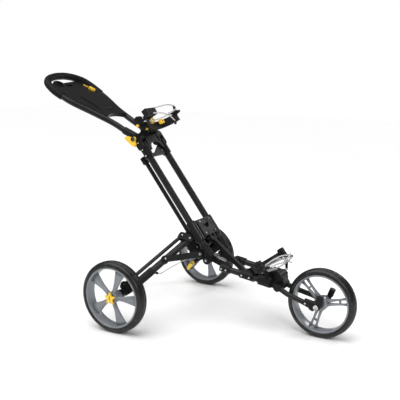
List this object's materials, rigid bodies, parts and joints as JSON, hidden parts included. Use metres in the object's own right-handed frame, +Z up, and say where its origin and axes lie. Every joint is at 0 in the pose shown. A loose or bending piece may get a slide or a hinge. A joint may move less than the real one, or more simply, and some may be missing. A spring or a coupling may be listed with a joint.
{
  "type": "golf_push_trolley",
  "caption": "Folding three-wheeled golf push trolley with sliding leg linkage, bag cradles, console and adjustable handle",
  "frame": {"origin": "Middle of the footprint, on the ground plane under the tyres.", "axes": "+X is the direction of travel, from the handle to the front wheel; +Y is the left side; +Z is up."},
  "size_m": [1.4351, 0.792, 1.0001],
  "materials": {
    "frame_paint": "satin charcoal powder coat",
    "steel": "zinc plated",
    "rubber": "satin moulded",
    "soft_rubber": "matt ribbed",
    "grey_plastic": "satin mid grey",
    "black_plastic": "fine grain",
    "gloss_black": "glossy",
    "yellow_plastic": "satin",
    "elastic": "braided",
    "cable": "smooth sleeve"
  },
  "bodies": {
    "main_frame": {"spine_tubes": "frame_paint", "guide_rod": "steel", "yoke": "black_plastic", "yoke_fasteners": "steel", "lower_bracket": "black_plastic", "lower_fasteners": "steel"},
    "slider": {"slider_casting": "black_plastic", "hub_block": "black_plastic", "slider_fasteners": "steel"},
    "front_section": {"front_tubes": "frame_paint", "front_knuckles": "black_plastic", "cross_bracket": "black_plastic", "front_fasteners": "steel", "front_tube_caps": "black_plastic", "front_head": "black_plastic", "fork": "frame_paint", "fork_ends": "black_plastic", "front_axle": "steel", "lower_cradle_band": "black_plastic", "lower_cradle_pads": "soft_rubber", "lower_strap": "elastic"},
    "front_strut": {"front_strut": "steel"},
    "front_wheel": {"front_wheel_rim": "grey_plastic", "front_wheel_tyre": "rubber", "front_wheel_bearings": "steel"},
    "tracking_knob": {"tracking_knob": "black_plastic"},
    "upper_cradle": {"upper_cradle_band": "black_plastic", "upper_cradle_pads": "soft_rubber", "upper_strap": "elastic"},
    "handle": {"handle_tube": "frame_paint", "handle_hubs": "black_plastic", "handle_grip": "rubber", "console": "gloss_black", "cup_holder": "black_plastic"},
    "console_lid": {"console_lid": "gloss_black"},
    "handle_button": {"handle_button": "yellow_plastic"},
    "cam_lever": {"handle_cam_lever": "yellow_plastic"},
    "brake_pedal": {"brake_pedal": "yellow_plastic"},
    "right_leg": {"right_leg": "frame_paint", "right_leg_sleeves": "black_plastic", "right_brake_cable": "cable"},
    "right_leg_rod": {"right_leg_rod": "frame_paint"},
    "right_leg_strut": {"right_leg_strut": "frame_paint"},
    "right_wheel_carrier": {"right_wheel_carrier": "black_plastic", "right_axle_and_pins": "steel"},
    "right_wheel": {"right_wheel_rim": "grey_plastic", "right_wheel_tyre": "rubber", "right_wheel_bearings": "steel"},
    "right_release": {"right_release_button": "yellow_plastic"},
    "left_leg": {"left_leg": "frame_paint", "left_leg_sleeves": "black_plastic", "left_brake_cable": "cable"},
    "left_leg_rod": {"left_leg_rod": "frame_paint"},
    "left_leg_strut": {"left_leg_strut": "frame_paint"},
    "left_wheel_carrier": {"left_wheel_carrier": "black_plastic", "left_axle_and_pins": "steel"},
    "left_wheel": {"left_wheel_rim": "grey_plastic", "left_wheel_tyre": "rubber", "left_wheel_bearings": "steel"},
    "left_release": {"left_release_button": "yellow_plastic"}
  },
  "joints": [
    {"name": "slider_slide", "type": "slide", "parent": "main_frame", "child": "slider", "axis": [-0.6018, 0, 0.7986], "range_m": [0, 0.194]},
    {"name": "front_fold", "type": "hinge", "parent": "main_frame", "child": "front_section", "pos_m": [0.1105, 0, 0.261], "axis": [0, -1, 0], "range_deg": [0, 90.24]},
    {"name": "front_strut_swing", "type": "hinge", "parent": "front_section", "child": "front_strut", "pos_m": [0.2555, 0, 0.204], "axis": [0, -1, 0], "range_deg": [-75.82, 0]},
    {"name": "right_leg_fold", "type": "hinge", "parent": "slider", "child": "right_leg", "pos_m": [0.0165, -0.066, 0.334], "axis": [0.5886, -0.676, 0.4435], "range_deg": [0, 69.57], "deforming": ["right_brake_cable"]},
    {"name": "right_leg_rod_swing", "type": "hinge", "parent": "slider", "child": "right_leg_rod", "pos_m": [-0.01046, -0.08103, 0.34686], "axis": [0.5886, -0.676, 0.4435], "range_deg": [0, 69.57]},
    {"name": "right_leg_strut_swing", "type": "hinge", "parent": "main_frame", "child": "right_leg_strut", "pos_m": [0.06356, -0.066, 0.27155], "axis": [0.5886, -0.676, 0.4435], "range_deg": [-58.23, 0]},
    {"name": "right_carrier_swing", "type": "hinge", "parent": "right_leg", "child": "right_wheel_carrier", "pos_m": [-0.1158, -0.2928, 0.1639], "axis": [0.5886, -0.676, 0.4435], "range_deg": [-69.57, 0]},
    {"name": "right_wheel_spin", "type": "hinge", "parent": "right_wheel_carrier", "child": "right_wheel", "pos_m": [-0.1485, -0.3635, 0.145], "axis": [0, 1, 0], "continuous": true},
    {"name": "right_release_press", "type": "slide", "parent": "right_wheel", "child": "right_release", "axis": [0, 1, 0], "range_m": [0, 0.003], "stiffness_N_per_m": 1200, "springref_m": -0.002},
    {"name": "left_leg_fold", "type": "hinge", "parent": "slider", "child": "left_leg", "pos_m": [0.0165, 0.066, 0.334], "axis": [-0.5886, -0.676, -0.4435], "range_deg": [0, 69.57], "deforming": ["left_brake_cable"]},
    {"name": "left_leg_rod_swing", "type": "hinge", "parent": "slider", "child": "left_leg_rod", "pos_m": [-0.01046, 0.08103, 0.34686], "axis": [-0.5886, -0.676, -0.4435], "range_deg": [0, 69.57]},
    {"name": "left_leg_strut_swing", "type": "hinge", "parent": "main_frame", "child": "left_leg_strut", "pos_m": [0.06356, 0.066, 0.27155], "axis": [-0.5886, -0.676, -0.4435], "range_deg": [-58.23, 0]},
    {"name": "left_carrier_swing", "type": "hinge", "parent": "left_leg", "child": "left_wheel_carrier", "pos_m": [-0.1158, 0.2928, 0.1639], "axis": [-0.5886, -0.676, -0.4435], "range_deg": [-69.57, 0]},
    {"name": "left_wheel_spin", "type": "hinge", "parent": "left_wheel_carrier", "child": "left_wheel", "pos_m": [-0.1485, 0.3635, 0.145], "axis": [0, 1, 0], "continuous": true},
    {"name": "left_release_press", "type": "slide", "parent": "left_wheel", "child": "left_release", "axis": [0, -1, 0], "range_m": [0, 0.003], "stiffness_N_per_m": 1200, "springref_m": -0.002},
    {"name": "front_wheel_spin", "type": "hinge", "parent": "front_section", "child": "front_wheel", "pos_m": [0.5795, 0, 0.138], "axis": [0, 1, 0], "continuous": true},
    {"name": "tracking_knob_turn", "type": "hinge", "parent": "front_section", "child": "tracking_knob", "pos_m": [0.5937, 0.05, 0.1565], "axis": [0.3714, 0, 0.9285], "range_deg": [-180, 180]},
    {"name": "handle_fold", "type": "hinge", "parent": "main_frame", "child": "handle", "pos_m": [-0.22909, 0, 0.73823], "axis": [0, -1, 0], "range_deg": [-10, 85]},
    {"name": "cam_lever_open", "type": "hinge", "parent": "main_frame", "child": "cam_lever", "pos_m": [-0.22909, -0.102, 0.73823], "axis": [0, 1, 0], "range_deg": [0, 60]},
    {"name": "upper_cradle_tilt", "type": "hinge", "parent": "main_frame", "child": "upper_cradle", "pos_m": [-0.21066, 0, 0.77027], "axis": [0, 1, 0], "range_deg": [0, 70]},
    {"name": "console_lid_open", "type": "hinge", "parent": "handle", "child": "console_lid", "pos_m": [-0.44224, 0, 0.8509], "axis": [0, 1, 0], "range_deg": [0, 100]},
    {"name": "handle_button_press", "type": "slide", "parent": "handle", "child": "handle_button", "axis": [-0.4343, 0, -0.9008], "range_m": [0, 0.003], "stiffness_N_per_m": 1200, "springref_m": -0.002},
    {"name": "brake_pedal_press", "type": "hinge", "parent": "left_wheel_carrier", "child": "brake_pedal", "pos_m": [-0.1985, 0.3235, 0.105], "axis": [0, -1, 0], "range_deg": [0, 25]}
  ],
  "couplings": [
    {"joint": "front_fold", "follows": "slider_slide", "rad_per_m": 8.114},
    {"joint": "front_strut_swing", "follows": "slider_slide", "rad_per_m": -6.8171},
    {"joint": "right_leg_fold", "follows": "slider_slide", "rad_per_m": 6.2546},
    {"joint": "right_leg_rod_swing", "follows": "slider_slide", "rad_per_m": 6.2546},
    {"joint": "right_leg_strut_swing", "follows": "slider_slide", "rad_per_m": -5.234},
    {"joint": "right_carrier_swing", "follows": "slider_slide", "rad_per_m": -6.2546},
    {"joint": "left_leg_fold", "follows": "slider_slide", "rad_per_m": 6.2546},
    {"joint": "left_leg_rod_swing", "follows": "slider_slide", "rad_per_m": 6.2546},
    {"joint": "left_leg_strut_swing", "follows": "slider_slide", "rad_per_m": -5.234},
    {"joint": "left_carrier_swing", "follows": "slider_slide", "rad_per_m": -6.2546}
  ]
}
